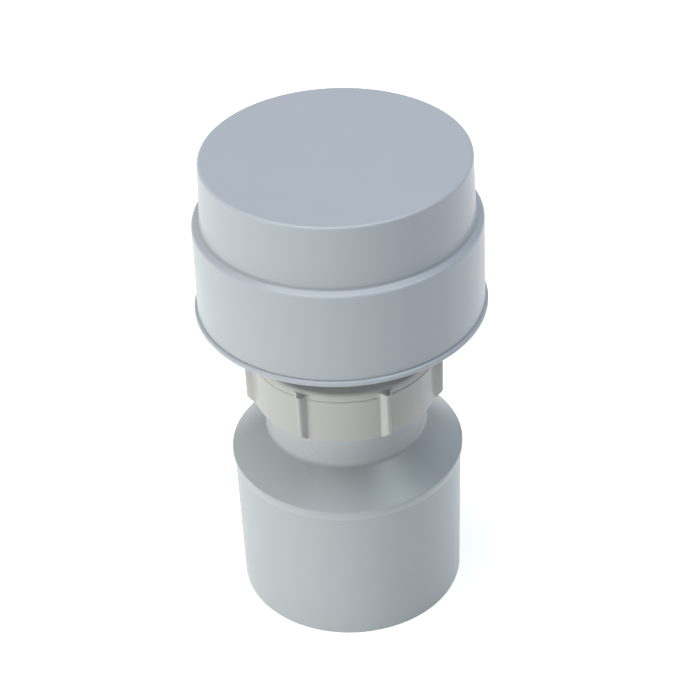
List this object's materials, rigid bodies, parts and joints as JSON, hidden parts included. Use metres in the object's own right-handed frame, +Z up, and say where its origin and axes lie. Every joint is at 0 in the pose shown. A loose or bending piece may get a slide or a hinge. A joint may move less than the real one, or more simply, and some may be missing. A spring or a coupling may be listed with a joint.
{
  "type": "air admittance valve",
  "caption": "Air admittance valve with a round two-step cap over a lifting ring diaphragm, a ribbed union nut and a plain socket for a waste pipe.",
  "frame": {"origin": "centre of the adaptor's lower rim", "axes": "+Z up along the valve's own axis, from the waste pipe to the cap; the picture is taken from -Y"},
  "size_m": [0.0856, 0.0856, 0.1504],
  "materials": {
    "adaptor_plastic": "light blue-grey moulded plastic, satin",
    "body_plastic": "light blue-grey moulded plastic, satin",
    "cap_plastic": "light blue-grey moulded plastic, satin",
    "nut_plastic": "warm light grey moulded plastic, satin",
    "washer_plastic": "natural white slippery plastic",
    "seal_rubber": "black moulded rubber",
    "screen_plastic": "black moulded plastic",
    "diaphragm_silicone": "milky translucent silicone",
    "carrier_plastic": "natural white moulded plastic"
  },
  "bodies": {
    "valve_housing": {"base_adaptor": "adaptor_plastic", "cone_seal": "seal_rubber", "valve_body": "body_plastic", "insect_screen": "screen_plastic", "cap_seal": "seal_rubber", "cap": "cap_plastic", "stem_guide": "carrier_plastic"},
    "washer_slide": {"slip_washer": "washer_plastic"},
    "nut": {"union_nut": "nut_plastic"},
    "lifting_seal": {"diaphragm": "diaphragm_silicone", "diaphragm_carrier": "carrier_plastic", "diaphragm_clip": "carrier_plastic"}
  },
  "joints": [
    {"name": "diaphragm_lift", "type": "slide", "parent": "valve_housing", "child": "lifting_seal", "axis": [0, 0, 1], "range_m": [0, 0.005]},
    {"name": "nut_travel", "type": "slide", "parent": "valve_housing", "child": "washer_slide", "axis": [0, 0, 1], "range_m": [0, 0.00924]},
    {"name": "nut_turn", "type": "hinge", "parent": "washer_slide", "child": "nut", "pos_m": [0, 0, 0.078], "axis": [0, 0, 1], "range_deg": [0, 1440]}
  ],
  "couplings": [
    {"joint": "nut_travel", "follows": "nut_turn", "m_per_rad": 0.00036749}
  ]
}
